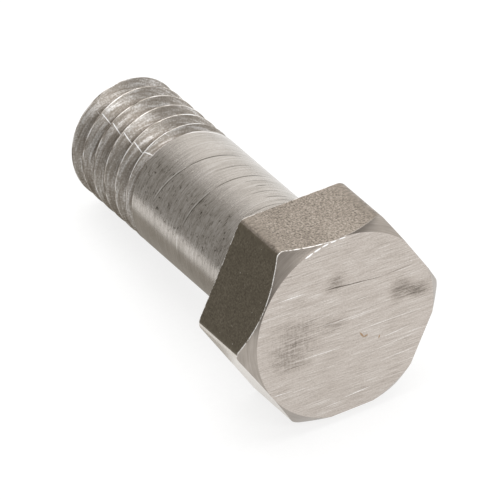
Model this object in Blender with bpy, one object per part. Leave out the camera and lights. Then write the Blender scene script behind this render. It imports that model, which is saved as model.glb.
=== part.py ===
# Hexagon-headed shoulder bolt: a plain turned shank with a short coarse thread at its tip.
# It is one piece, machined from hexagon bar, and lies on a flat of its head and on its tip.
# The bolt is made standing on the origin with its head up, the shank below the origin,
# and an empty then lays it down. All sizes are in metres and all angles in radians.

import math

import bmesh
import bpy
from mathutils import Matrix

# Head
ACROSS_FLATS = 0.0142875        # 9/16 in bar
HEAD_HEIGHT = 0.00635           # 1/4 in
BAR_CORNER_RADIUS = 0.0006      # the bar's long corners, as drawn
FACE_CIRCLE_EXCESS = 0.00014    # the circle where the face's chamfer starts is this much wider than the flats
FACE_CHAMFER_ANGLE = math.radians(44)

# Shank
LENGTH = 0.0254                 # 1 in, from under the head to the tip
SHANK_DIAMETER = 0.0094         # 3/8 in, turned a little under
NECK_FILLET = 0.0004

# Thread, right-handed, 16 to the inch
THREAD_DIAMETER = 0.0094
PITCH = 0.0015875
CREST_WIDTH = 0.0002
ROOT_RADIUS = 0.00023
FLANK_ANGLE = math.radians(30)  # of each flank from square across the axis
THREAD_START = 0.0150           # from under the head to where the fading groove begins
FADE_TURNS = 1.0                # turns over which the groove sinks to its full depth
GROOVE_START_ANGLE = math.radians(307.5)
TIP_CHAMFER = 0.00065

# Facets and working clearances
SHANK_FACETS = 96
FACE_FACETS = 144
FILLET_FACETS = 4
CORNER_FACETS = 3
ROOT_FACETS = 3
OVERLAP = 0.001                 # how far joined shapes run into each other
GROOVE_PROUD = 0.0001           # how far the groove's cutter stands proud of the thread
TURNS_PAST_TIP = 1.0
WELD_DISTANCE = 0.000008

# Finish
STEEL_COLOUR = (0.46, 0.42, 0.38, 1.0)
STEEL_ROUGHNESS = 0.34


def clear_scene():
    for item in list(bpy.data.objects):
        bpy.data.objects.remove(item, do_unlink=True)


def machined_steel():
    """Bare stainless steel as it leaves the lathe and the belt."""
    material = bpy.data.materials.new("machined_steel")
    material.use_nodes = True
    shader = material.node_tree.nodes["Principled BSDF"]
    shader.inputs["Base Color"].default_value = STEEL_COLOUR
    shader.inputs["Metallic"].default_value = 1.0
    shader.inputs["Roughness"].default_value = STEEL_ROUGHNESS
    return material


def add_object(name, mesh_builder, material):
    """Turns a filled bmesh into an object whose faces point outwards."""
    bmesh.ops.recalc_face_normals(mesh_builder, faces=mesh_builder.faces)
    mesh = bpy.data.meshes.new(name)
    mesh_builder.to_mesh(mesh)
    mesh_builder.free()
    mesh.materials.append(material)
    mesh.shade_smooth()
    mesh.set_sharp_from_angle(angle=math.radians(25))
    item = bpy.data.objects.new(name, mesh)
    bpy.context.scene.collection.objects.link(item)
    return item


def turned(name, profile, facets, material):
    """Revolves a profile of (radius, height) points, whose ends lie on the axis, about Z."""
    builder = bmesh.new()
    points = [builder.verts.new((radius, 0, height)) for radius, height in profile]
    edges = [builder.edges.new(pair) for pair in zip(points, points[1:])]
    bmesh.ops.spin(builder, geom=points + edges, cent=(0, 0, 0), axis=(0, 0, 1),
                   angle=2 * math.pi, steps=facets, use_merge=True)
    bmesh.ops.remove_doubles(builder, verts=builder.verts, dist=1e-7)
    return add_object(name, builder, material)


def hexagon_bar(material):
    """The head before its face is chamfered: a length of bar with two flats square to Y."""
    builder = bmesh.new()
    corner_radius = ACROSS_FLATS / math.sqrt(3)
    bmesh.ops.create_circle(builder, cap_ends=True, segments=6, radius=corner_radius)
    bmesh.ops.rotate(builder, verts=builder.verts, matrix=Matrix.Rotation(math.pi / 6, 3, "Z"))
    underside = builder.faces[:]
    raised = bmesh.ops.extrude_face_region(builder, geom=underside)["geom"]
    face_corners = [item for item in raised if isinstance(item, bmesh.types.BMVert)]
    bmesh.ops.translate(builder, verts=face_corners, vec=(0, 0, HEAD_HEIGHT))
    long_corners = [edge for edge in builder.edges
                    if abs(edge.verts[0].co.z - edge.verts[1].co.z) > HEAD_HEIGHT / 2]
    bmesh.ops.bevel(builder, geom=long_corners, affect="EDGES", segments=CORNER_FACETS, profile=0.5,
                    offset=BAR_CORNER_RADIUS * math.tan(math.pi / 6))
    return add_object("shoulder_bolt", builder, material)


def face_chamfer_cone(material):
    """The cone that the lathe leaves at the head's face, kept where it and the bar agree."""
    slope = 1 / math.tan(FACE_CHAMFER_ANGLE)
    face_radius = (ACROSS_FLATS + FACE_CIRCLE_EXCESS) / 2

    def cone_radius(height):
        return face_radius + (HEAD_HEIGHT - height) * slope

    top = HEAD_HEIGHT + OVERLAP
    bottom = -OVERLAP
    profile = [(0, top), (cone_radius(top), top), (cone_radius(bottom), bottom), (0, bottom)]
    return turned("face_chamfer_cone", profile, FACE_FACETS, material)


def shank_blank(material):
    """The shank before threading, from inside the head down to its chamfered tip."""
    shank = SHANK_DIAMETER / 2
    thread = THREAD_DIAMETER / 2
    fillet = [
        (shank + NECK_FILLET * (1 - math.sin(turn)), -NECK_FILLET * (1 - math.cos(turn)))
        for turn in (step / FILLET_FACETS * math.pi / 2 for step in range(FILLET_FACETS + 1))
    ]
    profile = [(0, OVERLAP), (shank + NECK_FILLET, OVERLAP)] + fillet
    if SHANK_DIAMETER != THREAD_DIAMETER:
        profile += [(shank, -THREAD_START), (thread, -THREAD_START)]
    profile += [(thread, TIP_CHAMFER - LENGTH), (thread - TIP_CHAMFER, -LENGTH), (0, -LENGTH)]
    return turned("shank_blank", profile, SHANK_FACETS, material)


def groove_section():
    """The groove's section as (height above its root, distance along the axis), and its depth."""
    mouth = (PITCH - CREST_WIDTH) / 2
    depth = mouth / math.tan(FLANK_ANGLE) - ROOT_RADIUS * (1 / math.sin(FLANK_ANGLE) - 1)
    outside = depth + GROOVE_PROUD
    outer_half = mouth + GROOVE_PROUD * math.tan(FLANK_ANGLE)
    sweep = math.pi / 2 - FLANK_ANGLE
    turns = [sweep * (1 - 2 * step / ROOT_FACETS) for step in range(ROOT_FACETS + 1)]
    root = [(ROOT_RADIUS * (1 - math.cos(turn)), ROOT_RADIUS * math.sin(turn)) for turn in turns]
    return [(outside, outer_half)] + root + [(outside, -outer_half)], depth


def thread_groove(material):
    """The helical groove: its section, carried from the shank past the tip, sinks to full depth."""
    section, depth = groove_section()
    threaded_turns = (LENGTH - THREAD_START) / PITCH
    builder = bmesh.new()
    sections = []
    for step in range(math.ceil((threaded_turns + TURNS_PAST_TIP) * SHANK_FACETS) + 1):
        turn = step / SHANK_FACETS
        raised = depth * max(0, 1 - turn / FADE_TURNS)
        angle = GROOVE_START_ANGLE - 2 * math.pi * turn
        middle = -THREAD_START - PITCH * turn
        root = THREAD_DIAMETER / 2 - depth + raised
        sections.append([
            builder.verts.new(((root + height) * math.cos(angle), (root + height) * math.sin(angle), middle + along))
            for height, along in section
        ])
    for near, far in zip(sections, sections[1:]):
        for corner in range(len(near)):
            following = (corner + 1) % len(near)
            builder.faces.new((near[corner], near[following], far[following], far[corner]))
    builder.faces.new(sections[0])
    builder.faces.new(sections[-1])
    return add_object("thread_groove", builder, material)


def combine(target, operation, tool):
    """Adds a Boolean step to the target and hides the shape that it uses."""
    step = target.modifiers.new(tool.name, "BOOLEAN")
    step.operation = operation
    step.solver = "EXACT"
    step.object = tool
    tool.hide_render = True
    tool.display_type = "WIRE"


def weld_short_edges(target):
    """Joins the points that the Boolean steps leave closer together than any real edge."""
    weld = target.modifiers.new("weld_short_edges", "WELD")
    weld.merge_threshold = WELD_DISTANCE


def crest_nearest_tip(angle):
    """Distance under the head of the last full crest on the given side, before the tip's chamfer."""
    turn = (GROOVE_START_ANGLE - angle) / (2 * math.pi) % 1
    first_edge = THREAD_START + PITCH * turn + (PITCH + CREST_WIDTH) / 2
    last_full = LENGTH - TIP_CHAMFER
    crest = first_edge + PITCH * math.floor((last_full - first_edge) / PITCH)
    beside_chamfer = crest + PITCH - CREST_WIDTH < last_full
    return last_full if beside_chamfer else crest


def lay_down(parts):
    """Rests the bolt on the lower flat's edge under the head and on its thread's last crest."""
    floor_side = math.radians(270)
    touching = [(THREAD_DIAMETER, crest_nearest_tip(floor_side)), (SHANK_DIAMETER, THREAD_START)]
    tilt = min(math.atan2((ACROSS_FLATS - diameter) / 2, distance) for diameter, distance in touching)
    tip_radius = THREAD_DIAMETER / 2 - TIP_CHAMFER
    behind = LENGTH * math.cos(tilt) + tip_radius * math.sin(tilt)
    ahead = HEAD_HEIGHT * math.cos(tilt) + ACROSS_FLATS / 2 * math.sin(tilt)
    resting = bpy.data.objects.new("resting_place", None)
    bpy.context.scene.collection.objects.link(resting)
    resting.rotation_euler = (math.pi / 2 - tilt, 0, 0)
    resting.location = (0, (ahead - behind) / 2, ACROSS_FLATS / 2 * math.cos(tilt))
    for part in parts:
        part.parent = resting


def build():
    clear_scene()
    steel = machined_steel()
    bolt = hexagon_bar(steel)
    cone = face_chamfer_cone(steel)
    blank = shank_blank(steel)
    groove = thread_groove(steel)
    combine(bolt, "INTERSECT", cone)
    combine(bolt, "UNION", blank)
    combine(bolt, "DIFFERENCE", groove)
    weld_short_edges(bolt)
    lay_down([bolt, cone, blank, groove])
    bpy.context.view_layer.update()


build()
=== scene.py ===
# Shoulder bolt in bare stainless steel, lying on a white sheet under soft light.
# The bolt is modelled upright, the underside of its head at the origin, and then laid down as the
# frame has it.

import math

import bpy
from mathutils import Matrix, Vector


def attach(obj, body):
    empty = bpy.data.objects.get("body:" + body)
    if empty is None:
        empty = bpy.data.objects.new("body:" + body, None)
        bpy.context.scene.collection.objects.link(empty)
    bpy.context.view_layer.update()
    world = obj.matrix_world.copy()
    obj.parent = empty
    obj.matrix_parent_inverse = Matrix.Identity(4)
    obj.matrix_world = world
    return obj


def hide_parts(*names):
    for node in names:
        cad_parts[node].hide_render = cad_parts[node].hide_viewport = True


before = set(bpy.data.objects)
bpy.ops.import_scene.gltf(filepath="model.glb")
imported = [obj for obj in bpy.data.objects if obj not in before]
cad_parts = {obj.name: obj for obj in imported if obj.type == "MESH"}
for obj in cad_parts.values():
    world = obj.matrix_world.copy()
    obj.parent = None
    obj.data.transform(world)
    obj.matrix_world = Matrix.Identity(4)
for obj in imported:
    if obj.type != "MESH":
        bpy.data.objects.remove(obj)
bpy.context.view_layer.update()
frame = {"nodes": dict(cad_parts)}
print("frame loaded:", ", ".join(frame["nodes"]))

mm = 0.001


# helpers

def deselectAll():
    bpy.ops.object.select_all(action="DESELECT")


def pick(item):
    deselectAll()
    item.select_set(True)
    bpy.context.view_layer.objects.active = item


def editMode(item, selectMode="VERT"):
    pick(item)
    bpy.ops.object.mode_set(mode="EDIT")
    bpy.ops.mesh.select_mode(type=selectMode)


def objectMode():
    bpy.ops.object.mode_set(mode="OBJECT")


def applyModifier(item, kind, **settings):
    pick(item)
    modifier = item.modifiers.new(kind.lower(), kind)
    for name, value in settings.items():
        setattr(modifier, name, value)
    bpy.ops.object.modifier_apply(modifier=modifier.name)


def combine(item, tool, operation):
    applyModifier(item, "BOOLEAN", operation=operation, solver="EXACT", object=tool)
    bpy.data.objects.remove(tool, do_unlink=True)


def mergeDoubles(item, distance):
    editMode(item)
    bpy.ops.mesh.select_all(action="SELECT")
    bpy.ops.mesh.remove_doubles(threshold=distance)
    bpy.ops.mesh.normals_make_consistent(inside=False)
    objectMode()


def drawProfile(name, points):
    # one vertex, extruded from point to point in the XZ plane, as a lathe profile is drawn
    deselectAll()
    bpy.ops.mesh.primitive_plane_add(size=mm)
    item = bpy.context.active_object
    item.name = item.data.name = name
    editMode(item)
    bpy.ops.mesh.select_all(action="SELECT")
    bpy.ops.mesh.merge(type="CENTER")
    start = Vector((points[0][0], 0, points[0][1]))
    bpy.ops.transform.translate(value=start)
    for here, there in zip(points, points[1:]):
        step = (there[0] - here[0], 0, there[1] - here[1])
        bpy.ops.mesh.extrude_region_move(TRANSFORM_OT_translate={"value": step})
    objectMode()
    return item


# head: a length of hexagon bar with a lathe-cut chamfer round its face

head = {
    "acrossFlats": 14.2875 * mm,
    "height": 6.252 * mm,
    # the face was ground a little out of square: its rise for each unit across and up
    "faceLean": (-0.022, 0.012),
    "cornerRadius": 0.7 * mm,
    "cornerSteps": 6,
    "faceCircle": 14.469 * mm,
    "chamferAngle": math.radians(44.5),
    "coneSteps": 288,
    "spare": 1.0 * mm,  # how far the chamfer's cone reaches past the bar's ends
}


def makeHead(settings):
    height = settings["height"]
    across, up = settings["faceLean"]
    sharpCorner = settings["acrossFlats"] / math.sqrt(3)
    deselectAll()
    bpy.ops.mesh.primitive_cylinder_add(vertices=6, radius=sharpCorner, depth=height,
                                        location=(0, 0, height / 2), rotation=(0, 0, math.pi / 6))
    item = bpy.context.active_object
    item.name = item.data.name = "bolt"
    bpy.ops.object.transform_apply()
    for vertex in item.data.vertices:
        if vertex.co.z > height / 2:
            vertex.co.z += across * vertex.co.x + up * vertex.co.y
    editMode(item, "EDGE")
    bpy.ops.mesh.select_all(action="DESELECT")
    objectMode()
    mesh = item.data
    for edge in mesh.edges:
        low, high = (mesh.vertices[index].co for index in edge.vertices)
        edge.select = abs(low.z - high.z) > height / 2
    editMode(item, "EDGE")
    bpy.ops.mesh.bevel(offset=settings["cornerRadius"] * math.tan(math.pi / 6),
                       segments=settings["cornerSteps"], affect="EDGES")
    objectMode()

    slope = 1 / math.tan(settings["chamferAngle"])
    faceRadius = settings["faceCircle"] / 2
    bottom, top = -settings["spare"], height + settings["spare"]
    deselectAll()
    bpy.ops.mesh.primitive_cone_add(vertices=settings["coneSteps"], depth=top - bottom,
                                    radius1=faceRadius + (height - bottom) * slope,
                                    radius2=faceRadius + (height - top) * slope,
                                    location=(0, 0, (bottom + top) / 2))
    combine(item, bpy.context.active_object, "INTERSECT")
    return item


# shank: turned, with a small fillet in the neck and a chamfered tip

shank = {
    "diameter": 9.4 * mm,
    "length": 25.4 * mm,
    "insideHead": 1.0 * mm,
    "neckFillet": 0.4 * mm,
    "filletSteps": 6,
    "tipChamfer": 0.65 * mm,
    # the tip was cut a little out of square: its rise for each unit across, over this much of its length
    "tipLean": -0.04,
    "leanLength": 0.7 * mm,
    "steps": 192,
    "weld": 0.0002 * mm,
}


def makeShank(settings):
    radius, length = settings["diameter"] / 2, settings["length"]
    fillet, chamfer, inside = settings["neckFillet"], settings["tipChamfer"], settings["insideHead"]
    turns = [step / settings["filletSteps"] * math.pi / 2 for step in range(settings["filletSteps"] + 1)]
    neck = [(radius + fillet * (1 - math.sin(turn)), -fillet * (1 - math.cos(turn))) for turn in turns]
    tip = [(radius, chamfer - length), (radius - chamfer, -length), (0, -length)]
    item = drawProfile("shank", [(0, inside), (radius + fillet, inside)] + neck + tip)
    editMode(item)
    bpy.ops.mesh.select_all(action="SELECT")
    bpy.ops.mesh.spin(steps=settings["steps"], angle=2 * math.pi, center=(0, 0, 0), axis=(0, 0, 1))
    objectMode()
    mergeDoubles(item, settings["weld"])
    for vertex in item.data.vertices:
        if vertex.co.z < settings["leanLength"] - length:
            vertex.co.z += settings["tipLean"] * vertex.co.x
    return item


# thread: a 16 to the inch groove that is deep at the tip and fades into the shank over one turn

thread = {
    "pitch": 1.5875 * mm,
    "crest": 0.10 * mm,
    "crestRounding": 0.05 * mm,
    "roundingSteps": 3,
    "rootRadius": 0.23 * mm,
    "rootSteps": 7,
    "flankAngle": math.radians(30),
    "start": 15.0 * mm,
    "startAngle": math.radians(328),
    "fadeTurns": 1.0,
    "crestDepth": 0.02 * mm,  # what lies this near the shank's surface counts as crest
    # past the crest the cutting section rises clear of the shank, by these heights, and spreads
    "clearance": 0.004 * mm,
    "spread": 0.01 * mm,
    "proud": 0.1 * mm,
    "weld": 0.004 * mm,
}


def makeGroove(settings, blank):
    pitch, flank = settings["pitch"], settings["flankAngle"]
    rootRadius, rounding = settings["rootRadius"], settings["crestRounding"]
    mouth = (pitch - settings["crest"]) / 2
    depth = mouth / math.tan(flank) - rootRadius * (1 / math.sin(flank) - 1)
    sweep = math.pi / 2 - flank

    # the groove's section as (height above its root, distance along the axis), one side
    side = []
    for step in range(settings["rootSteps"] // 2 + 1):
        turn = sweep * (step + 0.5) / (settings["rootSteps"] / 2)
        if turn <= sweep:
            side.append((rootRadius * (1 - math.cos(turn)), rootRadius * math.sin(turn)))
    edge = mouth + rounding * math.tan(sweep / 2)
    for step in range(settings["roundingSteps"] + 1):
        turn = sweep * (1 - step / settings["roundingSteps"])
        side.append((depth - rounding * (1 - math.cos(turn)), edge - rounding * math.sin(turn)))
    side[-1] = (depth + settings["clearance"], edge + settings["spread"])
    side.append((depth + settings["proud"], edge + 2 * settings["spread"]))
    section = [(height, -along) for height, along in reversed(side)] + side

    steps = blank["steps"]
    turns = math.ceil((blank["length"] - settings["start"] + pitch) / pitch)
    innermost = blank["diameter"] / 2 - depth
    points = [(innermost + height, along - settings["start"]) for height, along in section]
    item = drawProfile("groove", points)
    editMode(item)
    bpy.ops.mesh.select_all(action="SELECT")
    bpy.ops.mesh.edge_face_add()
    bpy.ops.mesh.delete(type="ONLY_FACE")
    objectMode()
    applyModifier(item, "SCREW", angle=-2 * math.pi, screw_offset=-pitch, iterations=turns, steps=steps,
                  render_steps=steps, use_merge_vertices=False)

    # towards the head the groove rises out of the shank, while its flank on the tip's side stays in line
    for vertex in item.data.vertices:
        turn = vertex.index // len(section) / steps
        raised = depth * max(0, 1 - turn / settings["fadeTurns"])
        outwards = Vector((vertex.co.x, vertex.co.y, 0)).normalized()
        vertex.co += outwards * raised
        vertex.co.z -= raised * math.tan(flank)
    item.data.transform(Matrix.Rotation(settings["startAngle"], 4, "Z"))
    editMode(item, "EDGE")
    bpy.ops.mesh.select_all(action="DESELECT")
    bpy.ops.mesh.select_non_manifold()
    bpy.ops.mesh.edge_face_add()
    bpy.ops.mesh.select_all(action="SELECT")
    bpy.ops.mesh.normals_make_consistent(inside=False)
    objectMode()
    return item


# where the bolt lies: on the lower flat's edge under the head and on its last thread crest

resting = {
    "turn": math.pi / 2 - math.radians(5.814797),  # about X, from upright to lying
    "place": (0, -9.319271 * mm, 7.106992 * mm),  # of the middle of the head's underside
}


# finish helpers

def addNode(tree, kind, settings=None, inputs=None):
    node = tree.nodes.new(kind)
    for name, value in (settings or {}).items():
        setattr(node, name, value)
    for name, value in (inputs or {}).items():
        if isinstance(value, bpy.types.NodeSocket):
            tree.links.new(value, node.inputs[name])
        else:
            node.inputs[name].default_value = value
    return node


def hexColour(code):
    channels = [int(code[start:start + 2], 16) / 255 for start in (1, 3, 5)]
    linear = [value / 12.92 if value <= 0.04045 else ((value + 0.055) / 1.055) ** 2.4 for value in channels]
    return (*linear, 1.0)


def newMaterial(name):
    material = bpy.data.materials.new(name)
    material.use_nodes = True
    tree = material.node_tree
    return material, tree, tree.nodes["Principled BSDF"]


def startSteel(name):
    # bare steel with the bolt's own coordinates in millimetres: origin under the head, z towards its face
    material, tree, shader = newMaterial(name)
    shader.inputs["Metallic"].default_value = 1.0
    coordinates = addNode(tree, "ShaderNodeTexCoord")
    own = addNode(tree, "ShaderNodeMapping", {"vector_type": "TEXTURE"}, {
        "Vector": coordinates.outputs["Object"],
        "Location": resting["place"],
        "Rotation": (resting["turn"], 0, 0),
        "Scale": (mm, mm, mm),
    })
    return material, tree, shader, own.outputs["Vector"]


def grain(tree, own, size, turn=0.0, detail=2.0, between=None):
    # noise whose marks have this length, width and depth in millimetres, turned about the bolt's axis
    # in degrees; "between" keeps only the marks that are stronger than its first value
    stretched = addNode(tree, "ShaderNodeMapping", {"vector_type": "TEXTURE"},
                        {"Vector": own, "Rotation": (0, 0, math.radians(turn)), "Scale": size})
    noise = addNode(tree, "ShaderNodeTexNoise", None, {
        "Vector": stretched.outputs["Vector"],
        "Scale": 1.0,
        "Detail": detail,
        "Roughness": 0.6,
    })
    if between is None:
        return noise.outputs["Fac"]
    kept = addNode(tree, "ShaderNodeMapRange", {"interpolation_type": "SMOOTHSTEP"},
                   {"Value": noise.outputs["Fac"], "From Min": between[0], "From Max": between[1]})
    return kept.outputs["Result"]


def grains(tree, own, rows, turn=0.0):
    # a pattern for each named row; "tone" and "rise" are its shares in the finish's tone and height
    patterns, tones, heights = {}, [], []
    for name, row in rows.items():
        pattern = grain(tree, own, row["size"], turn + row.get("turn", 0.0), row.get("detail", 2.0),
                        row.get("between"))
        patterns[name] = pattern
        if "tone" in row:
            tones.append((pattern, row["tone"]))
        if "rise" in row:
            heights.append((pattern, row["rise"]))
    return patterns, tones, heights


def spot(tree, own, place, size, turn=0.0, full=1.0):
    # a soft ellipse with half axes in millimetres, nothing at its rim and at full strength this share
    # of the way in
    moved = addNode(tree, "ShaderNodeMapping", {"vector_type": "TEXTURE"},
                    {"Vector": own, "Location": place, "Rotation": (0, 0, math.radians(turn)),
                     "Scale": size})
    gradient = addNode(tree, "ShaderNodeTexGradient", {"gradient_type": "SPHERICAL"},
                       {"Vector": moved.outputs["Vector"]})
    softened = addNode(tree, "ShaderNodeMapRange", {"interpolation_type": "SMOOTHSTEP"},
                       {"Value": gradient.outputs["Fac"], "From Min": 0.0, "From Max": full})
    return softened.outputs["Result"]


def distanceFromAxis(tree, split):
    across = addNode(tree, "ShaderNodeCombineXYZ", None, {"X": split.outputs["X"], "Y": split.outputs["Y"]})
    fromAxis = addNode(tree, "ShaderNodeVectorMath", {"operation": "LENGTH"}, {0: across.outputs["Vector"]})
    return fromAxis.outputs["Value"]


def addUp(tree, start, parts):
    # a weighted sum of patterns
    total = start
    for pattern, weight in parts:
        added = addNode(tree, "ShaderNodeMath", {"operation": "MULTIPLY_ADD"},
                        {0: pattern, 1: weight, 2: total})
        total = added.outputs[0]
    return total


toneSpan = (0.2, 0.8)  # the tones between which a finish goes from its first roughness to its second


def finishSurface(tree, shader, settings, tones, heights):
    # the tones add up to what picks colour and roughness, the heights to what stands proud,
    # by relief in millimetres
    tone = addUp(tree, settings["start"], tones)
    ramp = addNode(tree, "ShaderNodeValToRGB", None, {"Fac": tone})
    stops = ramp.color_ramp.elements
    while len(stops) < len(settings["colours"]):
        stops.new(0.5)
    for stop, (position, code) in zip(stops, settings["colours"]):
        stop.position = position
        stop.color = hexColour(code)
    tree.links.new(ramp.outputs["Color"], shader.inputs["Base Color"])
    smoothness = addNode(tree, "ShaderNodeMapRange", None, {
        "Value": tone,
        "From Min": toneSpan[0],
        "From Max": toneSpan[1],
        "To Min": settings["roughness"][0],
        "To Max": settings["roughness"][1],
    })
    tree.links.new(smoothness.outputs["Result"], shader.inputs["Roughness"])
    bump = addNode(tree, "ShaderNodeBump", None, {
        "Height": addUp(tree, 0.0, heights),
        "Distance": settings["relief"] * mm,
        "Strength": 1.0,
    })
    tree.links.new(bump.outputs["Normal"], shader.inputs["Normal"])
    return ramp.outputs["Color"]


# head's face: stainless steel ground on a belt, whose fine parallel lines give a soft sheen across them.
# Real grinding lines are some 0.02 mm wide, finer than a pixel, so they are drawn 0.05 to 0.09 mm wide.

groundFace = {
    "colours": [(0.0, "#57504A"), (0.3, "#8E867E"), (0.55, "#BDB4AC"), (0.78, "#D6D0CA"), (1.0, "#FFFFFF")],
    "roughness": (0.42, 0.30),
    "relief": 0.005,
    "start": -0.10,
    "lineTurn": -3,
    # turns are counted from the grinding lines
    "grains": {
        "longLines": {"size": (8.0, 0.085, 3.0), "tone": 0.32, "rise": 0.5},
        "shortLines": {"size": (1.5, 0.055, 3.0), "turn": 2, "tone": 0.42, "rise": 0.5},
        "crossingLines": {"size": (2.0, 0.09, 3.0), "turn": -8, "tone": 0.2},
        "blotches": {"size": (1.8, 0.9, 3.0), "tone": 0.13},
        "grit": {"size": (0.14, 0.11, 3.0), "detail": 1.0, "tone": 0.28},
        "brightLines": {"size": (4.0, 0.05, 3.0), "turn": 2.5, "detail": 1.0, "between": (0.60, 0.72),
                        "tone": 0.19},
        "darkLines": {"size": (3.0, 0.07, 1.0), "turn": -4, "detail": 1.0, "between": (0.66, 0.76),
                      "tone": -0.14},
        "hatch": {"size": (0.9, 0.16, 3.0), "between": (0.1, 0.7)},
        "crossHatch": {"size": (0.16, 1.2, 3.0), "between": (0.1, 0.7)},
    },
    # marks as (middle x, middle y, half length, half width, turn, tone), in millimetres and degrees;
    # each reaches this deep and is at full strength this share of the way in from its rim
    "scratches": {
        "depth": 2.0,
        "full": 0.5,
        "marks": [
            (1.3, 3.0, 2.9, 0.05, -7.8, -0.38),
            (4.9, 2.75, 1.7, 0.045, 1.0, -0.22),
            (0.0, 3.22, 0.9, 0.06, -7.8, -0.25),
            (3.6, -3.0, 3.0, 0.024, 2.2, 0.26),
            (3.9, -4.1, 2.4, 0.024, 1.5, 0.24),
            (4.4, -2.2, 2.0, 0.026, 3.0, 0.26),
            (3.0, -1.0, 3.0, 0.03, -2.0, 0.26),
            (-3.9, 3.8, 1.5, 0.028, -2.2, 0.36),
            (-5.2, -3.7, 1.1, 0.028, -5, 0.36),
            (1.0, -5.9, 2.0, 0.03, 2.0, 0.3),
            (-2.5, -1.6, 2.8, 0.03, -4.0, 0.34),
            (0.5, 0.4, 3.2, 0.03, -3.0, 0.28),
            (-4.0, -1.9, 1.6, 0.04, -4.0, -0.2),
            (-4.3, -0.6, 1.3, 0.04, -4.0, -0.16),
            # bright nicks along the face's rim, partly nicks and partly a painted highlight where its edge
            # catches the light
            (-2.27, 6.65, 0.42, 0.09, 19, 0.7),
            (-1.58, 6.86, 0.36, 0.09, 13, 0.8),
            (-0.92, 6.99, 0.34, 0.08, 8, 0.7),
            (-0.25, 7.05, 0.30, 0.07, 2, 0.6),
            (0.49, 7.05, 0.34, 0.06, -4, 0.5),
        ],
    },
    "smudges": {
        "depth": 3.0,
        "full": 1.0,
        "marks": [
            (6.1, 0.55, 1.7, 0.95, -21, -0.37),
            (4.7, 1.05, 1.2, 1.4, -12, -0.30),
            (-0.4, 3.7, 1.5, 1.0, 25, -0.26),
            (-0.8, 0.3, 1.6, 0.9, 0, -0.2),
        ],
    },
    "crossedSmudges": {
        "depth": 3.0,
        "full": 1.0,
        "marks": [(-3.9, 0.2, 3.6, 3.0, 40, -0.22), (-4.6, -1.0, 2.6, 2.2, 0, -0.14)],
    },
    # rust in a small hook with two more pits beside it
    "rust": {
        "colour": "#9A7B55",
        "depth": 2.0,
        "full": 0.6,
        "marks": [
            (1.4, -1.4, 0.38, 0.09, 120, 0.85),
            (1.72, -1.6, 0.24, 0.08, 10, 0.85),
            (2.78, -2.1, 0.2, 0.07, 70, 0.85),
        ],
    },
}


def faceMarks(tree, own, settings, lines=None):
    # marks placed one by one on the head's face; where lines are given they show only along these
    parts = []
    for x, y, length, width, turn, tone in settings["marks"]:
        place = (x, y, head["height"] / mm)
        mark = spot(tree, own, place, (length, width, settings["depth"]), turn, settings["full"])
        if lines is not None:
            lined = addNode(tree, "ShaderNodeMath", {"operation": "MULTIPLY"}, {0: mark, 1: lines})
            mark = lined.outputs[0]
        parts.append((mark, tone))
    return parts


def groundFaceSteel(settings):
    material, tree, shader, own = startSteel("belt-ground stainless steel")
    patterns, tones, heights = grains(tree, own, settings["grains"], settings["lineTurn"])
    # the smudges sit in the grinding lines, and two of them in fainter lines across these as well
    woven = addNode(tree, "ShaderNodeMath", {"operation": "MULTIPLY"},
                    {0: patterns["hatch"], 1: patterns["crossHatch"]})
    tones += faceMarks(tree, own, settings["scratches"])
    tones += faceMarks(tree, own, settings["smudges"], patterns["hatch"])
    tones += faceMarks(tree, own, settings["crossedSmudges"], woven.outputs[0])
    steelColour = finishSurface(tree, shader, settings, tones, heights)
    rusted = addNode(tree, "ShaderNodeMixRGB", None, {
        "Fac": addUp(tree, 0.0, faceMarks(tree, own, settings["rust"])),
        "Color1": steelColour,
        "Color2": hexColour(settings["rust"]["colour"]),
    })
    tree.links.new(rusted.outputs["Color"], shader.inputs["Base Color"])
    return material


# chamfer, underside and tip: turned steel, whose fine rings round the axis catch the light in soft wedges.
# Real rings are some 0.05 mm wide, finer than a pixel, so they are drawn 0.08 mm wide.

turnedFace = {
    "colours": [(0.0, "#5A554E"), (0.5, "#A8A098"), (1.0, "#E9E5E0")],
    "roughness": (0.34, 0.24),
    "relief": 0.004,
    "start": 0.14,
    "ringGrains": {"rings": {"size": (2.6, 2.6, 0.08), "tone": 0.42, "rise": 1.0}},
    "grains": {"patches": {"size": (1.2, 1.2, 0.5), "tone": 0.2}},
}


def turnedFaceSteel(settings):
    material, tree, shader, own = startSteel("turned stainless steel face")
    split = addNode(tree, "ShaderNodeSeparateXYZ", None, {"Vector": own})
    swept = addNode(tree, "ShaderNodeCombineXYZ", None, {
        "X": split.outputs["X"],
        "Y": split.outputs["Y"],
        "Z": distanceFromAxis(tree, split),
    })
    _, ringTones, heights = grains(tree, swept.outputs["Vector"], settings["ringGrains"])
    _, tones, _ = grains(tree, own, settings["grains"])
    finishSurface(tree, shader, settings, ringTones + tones, heights)
    return material


# flats: drawn and pickled bar as it comes, a dull skin that looks finely speckled and is worn smooth
# on the corners

barSkin = {
    "name": "pickled stainless steel bar",
    "colours": [(0.0, "#3D372E"), (0.3, "#6A6258"), (0.55, "#9C9287"), (0.8, "#BEB4A9"), (1.0, "#EDE8E2")],
    "roughness": (0.50, 0.36),
    "relief": 0.010,
    "start": -0.26,
    "contrast": 1.0,
    "glints": 0.0,
    "corner": -0.02,
    "burr": 0.5,
}

# the flat on the left is drawn dark and brown, partly its brown skin and partly painted shade on the side
# turned from the light; it has a few bright specks
darkSkin = {
    "name": "brown-skinned stainless steel bar",
    "colours": [(0.0, "#5A5246"), (0.4, "#7B7364"), (0.7, "#938B7C"), (1.0, "#FAF7F3")],
    "roughness": (0.50, 0.42),
    "relief": 0.004,
    "start": -0.32,
    "contrast": 0.9,
    "glints": 0.38,
    "corner": 0.0,
    "burr": 0.9,
}
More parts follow.
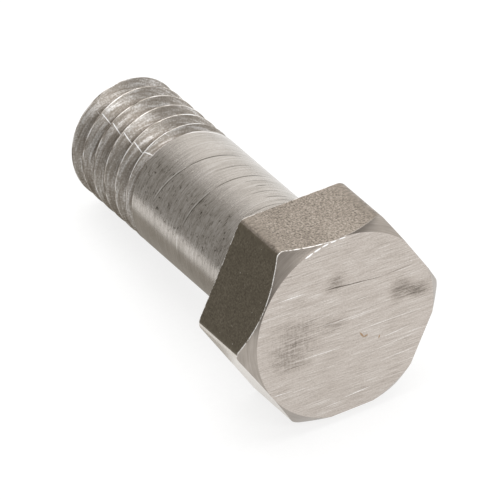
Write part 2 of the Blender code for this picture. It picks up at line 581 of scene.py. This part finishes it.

# the flat on the lower left is drawn pale and almost even, a painted reflection of the bright table it
# faces at a grazing angle
brightSkin = {
    "name": "rubbed stainless steel bar",
    "colours": [(0.0, "#A39B91"), (0.5, "#D6D0C8"), (1.0, "#FFFFFF")],
    "roughness": (0.40, 0.30),
    "relief": 0.004,
    "start": 0.12,
    "contrast": 0.5,
    "glints": 0.0,
    "corner": 0.0,
    "burr": 0.3,
}

# what the three skins have in common
skinPattern = {
    # pickled grain is some 0.03 mm, finer than a pixel, so its specks are drawn at 0.13 mm
    "grains": {
        "specks": {"size": (0.13, 0.13, 0.156), "detail": 1.0, "tone": 0.85, "rise": 1.0},
        "flecks": {"size": (0.286, 0.286, 0.208), "detail": 1.0, "tone": 0.45},
        "patches": {"size": (1.6, 1.6, 2.4), "tone": 0.24},
        "glints": {"size": (0.22, 0.22, 0.2), "detail": 0.0, "between": (0.80, 0.84)},
        "burrGaps": {"size": (0.5, 0.5, 0.5), "detail": 3.0, "between": (0.46, 0.58)},
    },
    # from the first to the second share of the sharp corner's distance the specks are rubbed away
    "cornerBand": (0.94, 0.97),
    "rubbedSpecks": -0.65,
    "rubbedLift": 0.32,
    # the bright burr along the edge under the head, partly a painted highlight, fades in between these
    # heights in millimetres
    "burrBand": (0.13, 0.05),
}


def barSkinSteel(settings):
    material, tree, shader, own = startSteel(settings["name"])
    contrast = settings["contrast"]
    patterns, shares, heights = grains(tree, own, skinPattern["grains"])
    tones = [(pattern, share * contrast) for pattern, share in shares]
    split = addNode(tree, "ShaderNodeSeparateXYZ", None, {"Vector": own})
    sharpCorner = head["acrossFlats"] / math.sqrt(3) / mm
    nearCorner = addNode(tree, "ShaderNodeMapRange", {"interpolation_type": "SMOOTHSTEP"}, {
        "Value": distanceFromAxis(tree, split),
        "From Min": sharpCorner * skinPattern["cornerBand"][0],
        "From Max": sharpCorner * skinPattern["cornerBand"][1],
    })
    fainter = addNode(tree, "ShaderNodeMath", {"operation": "MULTIPLY_ADD"},
                      {0: patterns["specks"], 1: skinPattern["rubbedSpecks"], 2: skinPattern["rubbedLift"]})
    calm = addNode(tree, "ShaderNodeMath", {"operation": "MULTIPLY"},
                   {0: nearCorner.outputs["Result"], 1: fainter.outputs[0]})
    nearEdge = addNode(tree, "ShaderNodeMapRange", {"interpolation_type": "SMOOTHSTEP"}, {
        "Value": split.outputs["Z"],
        "From Min": skinPattern["burrBand"][0],
        "From Max": skinPattern["burrBand"][1],
    })
    # the burr's brightness is partly a painted highlight
    burr = addNode(tree, "ShaderNodeMath", {"operation": "MULTIPLY"},
                   {0: nearEdge.outputs["Result"], 1: patterns["burrGaps"]})
    tones += [(patterns["glints"], settings["glints"]), (calm.outputs[0], contrast),
              (nearCorner.outputs["Result"], settings["corner"]), (burr.outputs[0], settings["burr"])]
    finishSurface(tree, shader, settings, tones, heights)
    return material


# shank: turned and lightly polished, so its rings draw reflections out into soft bands along it, with
# darker streaks, pits and a few tool marks. The finest real rings and pits are finer than a pixel, so
# they are drawn 0.06 to 0.13 mm wide.

turnedShank = {
    "colours": [(0.0, "#45413B"), (0.3, "#8A847B"), (0.55, "#B9B3AC"), (1.0, "#EFECE9")],
    "roughness": (0.28, 0.19),
    "relief": 0.005,
    "start": -0.08,
    "grains": {
        "fineRings": {"size": (4.5, 4.5, 0.055), "tone": 0.42, "rise": 0.6},
        "broadRings": {"size": (6.0, 6.0, 0.25), "tone": 0.22},
        "streaks": {"size": (1.7, 1.7, 0.06), "tone": 0.2, "rise": 0.4},
        "patches": {"size": (1.8, 1.8, 1.2), "tone": 0.18},
        "grit": {"size": (0.13, 0.13, 0.11), "detail": 1.0, "tone": 0.18},
    },
    # a band along the shank, at this angle from the top, is rubbed least: its streaks and pits stay dark
    "band": {"angle": 52, "height": -8.5, "size": (2.7, 18, 1), "full": 0.5, "start": -0.24, "tone": -1.0},
    "bandGrains": {
        "darkStreaks": {"size": (0.45, 0.45, 0.09), "between": (0.52, 0.78), "tone": 0.40},
        "pits": {"size": (0.3, 0.3, 0.22), "detail": 1.0, "between": (0.60, 0.80), "tone": 0.40},
        "clouds": {"size": (0.7, 0.7, 0.4), "tone": 0.36},
    },
    # tool marks as (angle from the top at the start and end, height there, half width, tone), in degrees
    # and millimetres; heights are counted from the head's underside
    "marks": [
        (26, -36, -12.3, -11.4, 0.07, -0.45),
        (24, -34, -8.5, -8.17, 0.07, -0.4),
        (-8, -21, -6.72, -6.67, 0.06, -0.4),
        (-5, -30, -5.0, -4.79, 0.06, -0.4),
        (20, -30, -3.9, -3.7, 0.05, -0.3),
        (0, -32, -7.6, -7.4, 0.05, -0.3),
        (4, -30, -5.9, -5.75, 0.045, -0.28),
        (10, -34, -10.1, -9.8, 0.045, -0.25),
        (-10, -36, -4.3, -4.2, 0.045, -0.25),
        # the light lines among these are tool marks drawn light as a painted highlight, beside the dark
        # marks
        (68, 16, -13.2, -12.2, 0.05, 0.3),
        (68, 16, -13.06, -12.06, 0.05, -0.36),
        (68, 18, -9.0, -8.5, 0.05, 0.3),
        (68, 18, -8.86, -8.36, 0.05, -0.36),
        (94, 72, -9.08, -9.22, 0.04, 0.3),
        # a painted highlight along the lip where the thread runs out
        (6, -20, -15.84, -15.56, 0.08, 0.5),
        (-12, -46, -15.60, -15.38, 0.08, 0.5),
    ],
}


def unrolled(tree, own, radius):
    # arc length from the top of the bolt, and height, so that marks can be placed on the round
    parts = addNode(tree, "ShaderNodeSeparateXYZ", None, {"Vector": own})
    left = addNode(tree, "ShaderNodeMath", {"operation": "MULTIPLY"}, {0: parts.outputs["X"], 1: -1.0})
    angle = addNode(tree, "ShaderNodeMath", {"operation": "ARCTAN2"},
                    {0: left.outputs[0], 1: parts.outputs["Y"]})
    arc = addNode(tree, "ShaderNodeMath", {"operation": "MULTIPLY"}, {0: angle.outputs[0], 1: radius})
    flat = addNode(tree, "ShaderNodeCombineXYZ", None, {"X": arc.outputs[0], "Y": parts.outputs["Z"]})
    return flat.outputs["Vector"]


def roundMarks(tree, flat, marks, radius, full=0.3):
    # straight marks on the unrolled shank, at full strength this share of the way in from their rims
    parts = []
    for startAngle, endAngle, startHeight, endHeight, width, tone in marks:
        start = (math.radians(startAngle) * radius, startHeight)
        end = (math.radians(endAngle) * radius, endHeight)
        middle = ((start[0] + end[0]) / 2, (start[1] + end[1]) / 2, 0)
        length = math.dist(start, end) / 2
        lean = math.degrees(math.atan2(end[1] - start[1], end[0] - start[0]))
        parts.append((spot(tree, flat, middle, (length, width, 1), lean, full), tone))
    return parts


def turnedShankSteel(settings):
    material, tree, shader, own = startSteel("turned stainless steel shank")
    radius = shank["diameter"] / 2 / mm
    flat = unrolled(tree, own, radius)
    _, tones, heights = grains(tree, own, settings["grains"])
    tones += roundMarks(tree, flat, settings["marks"], radius)
    band = settings["band"]
    middle = (math.radians(band["angle"]) * radius, band["height"], 0)
    inBand = spot(tree, flat, middle, band["size"], full=band["full"])
    _, bandTones, _ = grains(tree, own, settings["bandGrains"])
    darker = addNode(tree, "ShaderNodeMath", {"operation": "MULTIPLY"},
                     {0: inBand, 1: addUp(tree, band["start"], bandTones)})
    tones.append((darker.outputs[0], band["tone"]))
    finishSurface(tree, shader, settings, tones, heights)
    return material


# thread: cut with a die, torn flanks that look dull and streaked along the helix; the roots are darkened as
# painted shade.
# Real tears are finer than a pixel, so they are drawn 0.1 mm wide.

cutThread = {
    "colours": [(0.0, "#403A33"), (0.3, "#7D756B"), (0.6, "#A8A199"), (1.0, "#FFFFFF")],
    "roughness": (0.54, 0.44),
    "relief": 0.006,
    "start": -0.16,
    "grains": {
        "streaks": {"size": (4.0, 4.0, 0.11), "tone": 0.62, "rise": 0.6},
        "tears": {"size": (1.3, 1.3, 0.10), "tone": 0.46, "rise": 0.4},
        "patches": {"size": (1.5, 1.5, 1.5), "tone": 0.06},
        "grit": {"size": (0.13, 0.13, 0.11), "detail": 1.0, "tone": 0.42},
        "smears": {"size": (0.5, 0.5, 0.07), "between": (0.60, 0.74), "tone": 0.08},
    },
    # painted shade darkens the roots between these depths in millimetres
    "rootBand": (0.70, 0.97),
    "root": -0.2,
    # a burr across the crests, written as the shank's tool marks are
    "burr": [
        (35.5, 41.0, -24.3, -23.4, 0.045, 0.4),
        (33.8, 38.4, -23.15, -22.1, 0.045, 0.5),
        (33.4, 41.2, -21.55, -20.5, 0.045, 0.55),
        (33.6, 40.6, -19.95, -18.9, 0.045, 0.6),
        (33.8, 40.6, -18.4, -17.3, 0.05, 0.65),
        (37.4, 31.5, -16.8, -16.2, 0.05, 0.5),
    ],
}


def cutThreadSteel(settings):
    material, tree, shader, own = startSteel("die-cut stainless steel thread")
    radius = shank["diameter"] / 2 / mm
    _, tones, heights = grains(tree, own, settings["grains"])
    split = addNode(tree, "ShaderNodeSeparateXYZ", None, {"Vector": own})
    root = addNode(tree, "ShaderNodeMapRange", {"interpolation_type": "SMOOTHSTEP"}, {
        "Value": distanceFromAxis(tree, split),
        "From Min": radius - settings["rootBand"][0],
        "From Max": radius - settings["rootBand"][1],
    })
    # painted shade in the thread's roots
    tones.append((root.outputs["Result"], settings["root"]))
    tones += roundMarks(tree, unrolled(tree, own, radius), settings["burr"], radius)
    finishSurface(tree, shader, settings, tones, heights)
    return material


# broken edges: a hair of light metal with small nicks round the head, partly worn bright and partly a
# painted highlight

brightEdge = {
    "name": "worn stainless steel edge",
    "colours": [(0.0, "#6A6258"), (0.3, "#B0A99F"), (0.5, "#F2EFEC"), (1.0, "#FFFFFF")],
    "roughness": (0.80, 0.65),
    "relief": 0.008,
    "start": -0.35,
    "grains": {"nicks": {"size": (0.3, 0.3, 0.3), "detail": 3.0, "tone": 1.8, "rise": 1.0}},
}

# thread crests: thin light lines with nicks, partly rolled bright by the die and partly a painted highlight
wornCrest = {
    "name": "worn stainless steel crest",
    "colours": [(0.0, "#6E665C"), (0.35, "#B5AEA5"), (0.6, "#E2DDD7"), (1.0, "#FFFFFF")],
    "roughness": (0.70, 0.55),
    "relief": 0.008,
    "start": -1.0,
    "grains": {"nicks": {"size": (1.4, 1.4, 0.3), "detail": 3.0, "tone": 3.1, "rise": 1.0}},
}


# worn steel for the thread's crests and the head's edges, drawn light partly as a painted highlight
def wornSteel(settings):
    material, tree, shader, own = startSteel(settings["name"])
    _, tones, heights = grains(tree, own, settings["grains"])
    finishSurface(tree, shader, settings, tones, heights)
    return material


# which surface gets which finish, told by a face's place and by how far its normal points along the axis

surfaces = {
    "flush": 0.01 * mm,  # what is nearer than this counts as level with it
    "level": 0.99,  # the least share of a flat end's normal that lies along the axis
    "chamferLevel": 0.3,
    "tipLevel": 0.6,
    "tipZone": 0.585 * mm,  # the tip's chamfer lies this near its end
    # the degrees round the head between which the normals of these flats lie
    # the flat facing between these degrees gets painted shade
    "darkFlat": (130, 172),
    # the flat facing between these degrees gets a painted reflection of the table
    "brightFlat": (172, 225),
}


def nameFinishes(item, finishes, settings):
    shankRadius, flush = shank["diameter"] / 2, settings["flush"]
    for face in item.data.polygons:
        centre, normal = face.center, face.normal
        radius = math.hypot(centre.x, centre.y)
        turnsBack = (thread["startAngle"] - math.atan2(centre.y, centre.x)) / (2 * math.pi) % 1
        firstGroove = -thread["start"] - thread["pitch"] * turnsBack
        facing = math.degrees(math.atan2(normal.y, normal.x)) % 360
        nearTip = centre.z < settings["tipZone"] - shank["length"]
        if centre.z > flush:
            if normal.z > settings["level"]:
                finish = "face"
            elif normal.z > settings["chamferLevel"]:
                finish = "chamfer"
            elif settings["darkFlat"][0] < facing < settings["darkFlat"][1]:
                finish = "dark flat"
            elif settings["brightFlat"][0] < facing < settings["brightFlat"][1]:
                finish = "bright flat"
            else:
                finish = "flats"
        elif normal.z < -settings["level"] or (nearTip and abs(normal.z) > settings["tipLevel"]):
            finish = "underside" if centre.z > -shank["neckFillet"] else "tip"
        elif centre.z < firstGroove and radius > shankRadius - thread["crestDepth"]:
            finish = "crest"
        elif centre.z < -thread["start"] and radius < shankRadius - flush:
            finish = "thread"
        else:
            finish = "shank"
        face.material_index = finishes.index(finish)


# the head's edges are broken under the head and where the chamfer cuts the flats

edgeBreak = {
    "width": 0.04 * mm,
    "steps": 2,
    "zone": 0.4 * mm,  # how far inside the flats an edge still counts as one of the head's outer edges
    "flush": 0.01 * mm,
    "sharp": math.radians(30),
    "level": 0.99,  # a face whose normal points this far along the axis is the head's face
    # the breaks fade this near to where the chamfer runs out to nothing, and end at this strength
    "taper": 0.12 * mm,
    "faintest": 0.1,
    "weld": 0.001 * mm,
    # between these degrees round the head the broken edges keep their bright finish, a painted highlight on
    # the side that catches the light
    "bright": (84, 180),  # the degrees round the head between which the broken edges are worn bright
}


def breakEdges(item, finishes, settings, bar):
    halfFlats = bar["acrossFlats"] / 2
    slope = 1 / math.tan(bar["chamferAngle"])
    across, up = bar["faceLean"]
    mesh = item.data
    facesOf = {}
    for face in mesh.polygons:
        for key in face.edge_keys:
            facesOf.setdefault(key, []).append(face)
    weights = mesh.attributes.new("bevel_weight_edge", "FLOAT", "EDGE")
    for edge in mesh.edges:
        low, high = (mesh.vertices[index].co for index in edge.vertices)
        middle = (low + high) / 2
        inside = math.hypot(middle.x, middle.y) < halfFlats - settings["zone"]
        if inside or middle.z < -settings["flush"]:
            continue
        one, other = facesOf[edge.key]
        if one.normal.angle(other.normal) < settings["sharp"]:
            continue
        if middle.z < settings["flush"]:
            weights.data[edge.index].value = 1.0
            continue
        # the face's circle stays crisp, and the breaks fade out where the chamfer runs out to nothing
        turn = math.atan2(middle.y, middle.x)
        outline = halfFlats / math.cos(turn % (math.pi / 3) - math.pi / 6)
        circle = bar["faceCircle"] / 2 / (1 + (across * math.cos(turn) + up * math.sin(turn)) * slope)
        ring = outline > circle and max(one.normal.z, other.normal.z) > settings["level"]
        weight = 0.0 if ring else min(1.0, abs(outline - circle) / settings["taper"])
        weights.data[edge.index].value = weight if weight > settings["faintest"] else 0.0
    applyModifier(item, "BEVEL", limit_method="WEIGHT", width=settings["width"], segments=settings["steps"],
                  use_clamp_overlap=False, material=finishes.index("edge"))
    mergeDoubles(item, settings["weld"])
    # broken edges outside that span lose the bright finish, so the painted highlight stays on the side that
    # catches the light
    near, far = settings["bright"]
    for face in mesh.polygons:
        turn = math.degrees(math.atan2(face.center.y, face.center.x))
        if face.material_index == finishes.index("edge") and face.center.z > 0 and not near < turn < far:
            finish = "chamfer" if face.center.z > bar["height"] / 2 else "flats"
            face.material_index = finishes.index(finish)


print("head")
bolt = makeHead(head)

print("shank")
combine(bolt, makeShank(shank), "UNION")

print("thread")
combine(bolt, makeGroove(thread, shank), "DIFFERENCE")
mergeDoubles(bolt, thread["weld"])

print("finishes")
turned = turnedFaceSteel(turnedFace)
finishMaterials = {
    "flats": barSkinSteel(barSkin),
    "dark flat": barSkinSteel(darkSkin),
    "bright flat": barSkinSteel(brightSkin),
    "face": groundFaceSteel(groundFace),
    "chamfer": turned,
    "underside": turned,
    "shank": turnedShankSteel(turnedShank),
    "thread": cutThreadSteel(cutThread),
    "crest": wornSteel(wornCrest),
    "tip": turned,
    "edge": wornSteel(brightEdge),
}
finishes = list(finishMaterials)
bolt.data.materials.clear()
for finish in finishes:
    bolt.data.materials.append(finishMaterials[finish])
nameFinishes(bolt, finishes, surfaces)
breakEdges(bolt, finishes, edgeBreak, head)

print("smoothing and laying down")
smoothing = {"angle": math.radians(28), "weight": 100}
pick(bolt)
bpy.ops.object.shade_smooth_by_angle(angle=smoothing["angle"])
applyModifier(bolt, "WEIGHTED_NORMAL", keep_sharp=True, weight=smoothing["weight"])
laidDown = Matrix.Translation(resting["place"]) @ Matrix.Rotation(resting["turn"], 4, "X")
bolt.data.transform(laidDown)

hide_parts("shoulder_bolt")
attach(bolt, "root")


# table: matt white paper that glows a little from below, as on a light table, so that it looks clean white
# with a soft shadow. Real fibres are finer than a pixel, so they are drawn 0.5 to 0.9 mm wide.

whiteSheet = {
    "size": 6,
    "colours": [(0.0, "#7C7C7B"), (1.0, "#848484")],
    "roughness": (0.95, 0.85),
    "relief": 0.01,
    "start": 0.0,
    "grains": {"fibres": {"size": (0.9, 0.5, 0.5), "tone": 1.0, "rise": 1.0}},
    "glow": 0.80,
}


def addTable(settings):
    deselectAll()
    bpy.ops.mesh.primitive_plane_add(size=settings["size"])
    table = bpy.context.active_object
    table.name = "table"
    material, tree, shader = newMaterial("matt white sheet")
    coordinates = addNode(tree, "ShaderNodeTexCoord")
    inMm = addNode(tree, "ShaderNodeMapping", {"vector_type": "TEXTURE"},
                   {"Vector": coordinates.outputs["Object"], "Scale": (mm, mm, mm)})
    _, tones, heights = grains(tree, inMm.outputs["Vector"], settings["grains"])
    finishSurface(tree, shader, settings, tones, heights)
    shader.inputs["Emission Color"].default_value = (1, 1, 1, 1)
    shader.inputs["Emission Strength"].default_value = settings["glow"]
    table.data.materials.append(material)


# softboxes as (name, place, size, brightness), in metres; each looks at the bolt, and its brightness is
# how bright its surface looks, whatever its size

softboxes = [
    ("overhead", (0.10, 0.25, 1.10), (1.1, 1.1), 3.0),
    ("back right wall", (0.577, 1.109, 0.45), (2.1, 0.9), 0.90),
    ("right wall", (1.15, 0.0, 0.40), (1.3, 0.8), 0.90),
    ("front fill", (-0.5, -0.9, 0.9), (1.2, 0.8), 0.42),
    ("front key", (0.15, -0.95, 0.95), (0.5, 0.5), 4.0),
]


def addSoftbox(name, place, size, brightness):
    light = bpy.data.lights.new(name, "AREA")
    light.shape = "RECTANGLE"
    light.size, light.size_y = size
    light.energy = brightness * math.pi * size[0] * size[1]
    item = bpy.data.objects.new(name, light)
    item.location = place
    item.rotation_euler = (-Vector(place)).to_track_quat("-Z", "Y").to_euler()
    bpy.context.scene.collection.objects.link(item)


# grey cards that glow faintly and that only the steel reflects: one stands at the bolt's left, as a
# photographer darkens one side of polished metal;
# the one lying on the table under the shank is a painted shadow, the bolt's shade on the table as the steel
# reflects it; corners in millimetres

greyCards = [
    {
        "name": "grey card at the left",
        "low": (-20, -10, 0),
        "high": (-20, 180, 85),
        "brightness": 0.33,
        "tint": "#FFFCF7",
    },
    {
        # a painted shadow: the bolt's shade on the table, seen only in the steel
        "name": "grey card on the table",
        "low": (-10.6, -7, 0.05),
        "high": (-0.8, 26, 0.05),
        "brightness": 0.37,
        "tint": "#FFF8EC",
    },
]


def addCard(settings):
    deselectAll()
    bpy.ops.mesh.primitive_plane_add(size=1)
    card = bpy.context.active_object
    card.name = settings["name"]
    low, high = settings["low"], settings["high"]
    for vertex, (along, over) in zip(card.data.vertices, ((0, 0), (1, 0), (0, 1), (1, 1))):
        shares = (over, along, over)
        vertex.co = [(start + (end - start) * share) * mm for start, end, share in zip(low, high, shares)]
    card.visible_camera = card.visible_diffuse = card.visible_shadow = False
    material, _, shader = newMaterial(settings["name"])
    shader.inputs["Base Color"].default_value = (0, 0, 0, 1)
    shader.inputs["Emission Color"].default_value = hexColour(settings["tint"])
    shader.inputs["Emission Strength"].default_value = settings["brightness"]
    card.data.materials.append(material)


# the room round the table, dim and slightly warm

room = {"name": "dim studio", "colour": (0.28, 0.27, 0.26, 1)}


def addRoom(settings):
    world = bpy.data.worlds.new(settings["name"])
    bpy.context.scene.world = world
    world.use_nodes = True
    world.node_tree.nodes["Background"].inputs["Color"].default_value = settings["colour"]


# camera: a long lens from not quite a metre away, on a 36 mm wide sensor, for the photograph's perspective

viewpoint = {
    "sensor": 36,
    "lens": 889.238,
    "place": (-0.336163, -0.610484, 0.536657),
    "turn": (52.60400, 1.56699, -30.13262),
}


def addCamera(settings):
    camera = bpy.data.cameras.new("camera")
    camera.sensor_width = settings["sensor"]
    camera.lens = settings["lens"]
    item = bpy.data.objects.new("camera", camera)
    item.location = settings["place"]
    item.rotation_euler = [math.radians(angle) for angle in settings["turn"]]
    bpy.context.scene.collection.objects.link(item)
    bpy.context.scene.camera = item


print("table, lights and camera")
addTable(whiteSheet)
for softbox in softboxes:
    addSoftbox(*softbox)
for greyCard in greyCards:
    addCard(greyCard)
addRoom(room)
addCamera(viewpoint)
bpy.context.scene.view_settings.view_transform = "Standard"
